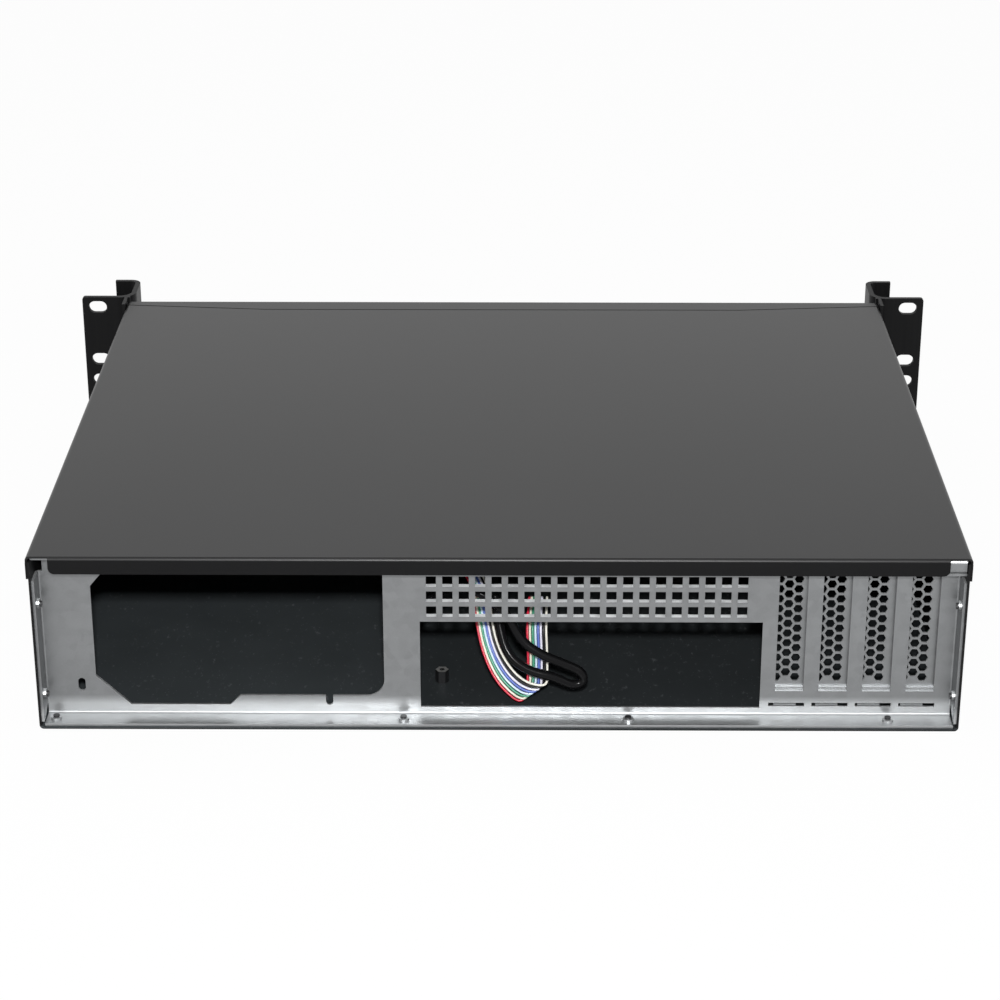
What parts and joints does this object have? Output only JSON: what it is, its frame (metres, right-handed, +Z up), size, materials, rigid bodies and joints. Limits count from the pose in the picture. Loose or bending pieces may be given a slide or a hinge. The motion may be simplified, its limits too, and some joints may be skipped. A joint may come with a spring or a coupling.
{
  "type": "rackmount server case",
  "caption": "Short-depth rackmount case, empty: black folded steel body, recessed plain metal rear panel with vented slot covers, extruded ear handles, front fans, buttons and their leads.",
  "frame": {"origin": "bottom centre of the whole object", "axes": "+X to the right as seen from the front, +Y from the front to the rear, +Z up"},
  "size_m": [0.4826, 0.381, 0.0901],
  "materials": {
    "black_aluminium": "satin",
    "black_plastic": "satin",
    "black_rubber": "satin",
    "black_screw": "satin",
    "black_steel": "satin",
    "board": "satin",
    "light_pipe": "gloss",
    "ribbon": "satin",
    "zinc_screw": "satin",
    "zinc_steel": "satin"
  },
  "bodies": {
    "case": {"chassis_base": "black_steel", "top_cover": "black_steel", "front_panel": "black_steel", "rear_panel": "zinc_steel", "left_ear_handle": "black_aluminium", "right_ear_handle": "black_aluminium", "ear_screws": "black_screw", "cover_screws": "black_screw", "rear_panel_screws": "black_screw", "slot_cover_1": "zinc_steel", "slot_cover_2": "zinc_steel", "slot_cover_3": "zinc_steel", "slot_cover_4": "zinc_steel", "slot_clamp_bar": "zinc_steel", "clamp_screws": "zinc_screw", "motherboard_standoffs": "zinc_screw", "drive_bracket": "zinc_steel", "bracket_screws": "black_screw", "fan_frame_1": "black_plastic", "fan_frame_2": "black_plastic", "fan_screws": "black_screw", "power_switch": "black_plastic", "reset_switch": "black_plastic", "power_light": "light_pipe", "drive_light": "light_pipe", "control_board": "board", "board_spacers": "zinc_screw", "board_screws": "zinc_screw", "usb_shells": "zinc_screw", "usb_tongues": "black_plastic", "ribbon_cable": "ribbon", "usb_lead": "black_rubber", "ribbon_plug": "black_plastic", "usb_lead_plug": "black_plastic"},
    "fan_rotor_1": {"fan_rotor_1": "black_plastic"},
    "fan_rotor_2": {"fan_rotor_2": "black_plastic"},
    "power_button": {"power_button": "black_plastic"},
    "reset_button": {"reset_button": "black_plastic"}
  },
  "joints": [
    {"name": "fan_1_spin", "type": "hinge", "parent": "case", "child": "fan_rotor_1", "pos_m": [-0.158, -0.145, 0.04405], "axis": [0, 1, 0], "continuous": true},
    {"name": "fan_2_spin", "type": "hinge", "parent": "case", "child": "fan_rotor_2", "pos_m": [-0.068, -0.145, 0.04405], "axis": [0, 1, 0], "continuous": true},
    {"name": "power_press", "type": "slide", "parent": "case", "child": "power_button", "axis": [0, 1, 0], "range_m": [0, 0.001], "stiffness_N_per_m": 1500},
    {"name": "reset_press", "type": "slide", "parent": "case", "child": "reset_button", "axis": [0, 1, 0], "range_m": [0, 0.001], "stiffness_N_per_m": 1500}
  ]
}
